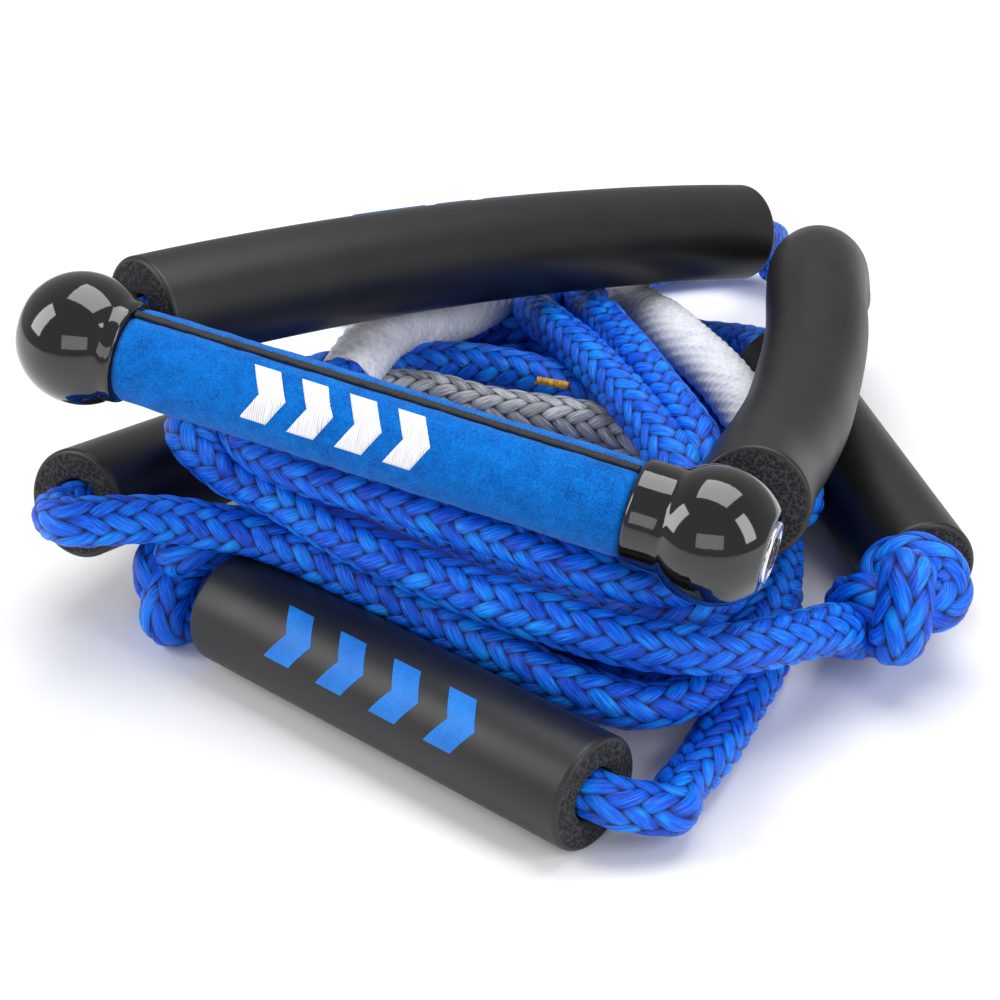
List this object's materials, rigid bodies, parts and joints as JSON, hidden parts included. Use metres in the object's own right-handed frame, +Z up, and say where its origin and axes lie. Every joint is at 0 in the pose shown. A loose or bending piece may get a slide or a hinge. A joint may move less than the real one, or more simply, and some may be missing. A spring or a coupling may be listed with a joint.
{
  "type": "tow rope handle",
  "caption": "Short surf tow handle with padded grip and moulded ball ends, foam bridle floats, and its thick braided rope, floats and bungee coiled under it.",
  "frame": {"origin": "on the floor, under the middle of the handle, the bridle floats and the rope floats", "axes": "+X along the grip bar, from its left end to its right end; +Y from the bar towards the bridle's apex; +Z up"},
  "size_m": [0.3103, 0.4208, 0.1345],
  "materials": {
    "alloy": "satin",
    "core_foam": "matte",
    "grip_suede": "brushed suede",
    "seam_tape": "matte",
    "emblem_thread": "satin thread",
    "gloss_black": "high gloss",
    "badge_silver": "polished",
    "blue_rope": "shiny filament braid",
    "black_foam": "matte skinned foam",
    "white_bungee": "gathered satin braid",
    "grey_rope": "shiny filament braid",
    "whipping_thread": "thread"
  },
  "bodies": {
    "rope": {"rope_coil": "blue_rope", "rope_coil_front": "blue_rope", "rope_coil_back": "blue_rope", "rope_in_float_front": "blue_rope", "rope_in_float_left": "blue_rope", "rope_in_float_right": "blue_rope", "rope_lead_front": "blue_rope", "rope_lead_left": "blue_rope", "rope_lead_right": "blue_rope", "rope_lead_far": "blue_rope", "rope_lead_bridle": "blue_rope", "rope_lead_boat": "blue_rope", "knot_front": "blue_rope", "knot_right": "blue_rope", "bungee_section": "white_bungee", "grey_section": "grey_rope", "whipping_band": "whipping_thread", "boat_loop": "blue_rope", "bridle_knot": "blue_rope"},
    "bridle": {"bridle_line_left": "blue_rope", "bridle_line_right": "blue_rope", "bridle_float_left": "black_foam", "bridle_float_right": "black_foam"},
    "handle": {"bar_tube": "alloy", "bar_foam_core": "core_foam", "grip_sleeve": "grip_suede", "grip_seam": "seam_tape", "grip_emblem": "emblem_thread", "cap_left": "gloss_black", "cap_right": "gloss_black", "end_plug_left": "gloss_black", "end_plug_right": "gloss_black", "badge_left": "badge_silver", "badge_right": "badge_silver", "stop_knot_left": "blue_rope", "stop_knot_right": "blue_rope"},
    "float_front_body": {"float_front": "black_foam"},
    "float_left_body": {"float_left": "black_foam"},
    "float_right_body": {"float_right": "black_foam"}
  },
  "joints": [
    {"name": "bridle_lift", "type": "hinge", "parent": "rope", "child": "bridle", "pos_m": [0.014, 0.228, 0.015], "axis": [-1, 0, 0], "range_deg": [0, 60]},
    {"name": "handle_swing", "type": "hinge", "parent": "bridle", "child": "handle", "pos_m": [-0.01649, -0.08981, 0.09497], "axis": [-0.9906, 0, 0.1368], "range_deg": [0, 30]},
    {"name": "float_front_spin", "type": "hinge", "parent": "rope", "child": "float_front_body", "pos_m": [0.07, -0.162, 0.019], "axis": [-0.9354, 0.3535, 0], "continuous": true},
    {"name": "float_left_spin", "type": "hinge", "parent": "rope", "child": "float_left_body", "pos_m": [-0.133, -0.105, 0.046], "axis": [0.1724, 0.9582, -0.2284], "continuous": true},
    {"name": "float_right_spin", "type": "hinge", "parent": "rope", "child": "float_right_body", "pos_m": [0.136, -0.006, 0.019], "axis": [-0.5505, 0.8348, 0], "continuous": true}
  ]
}
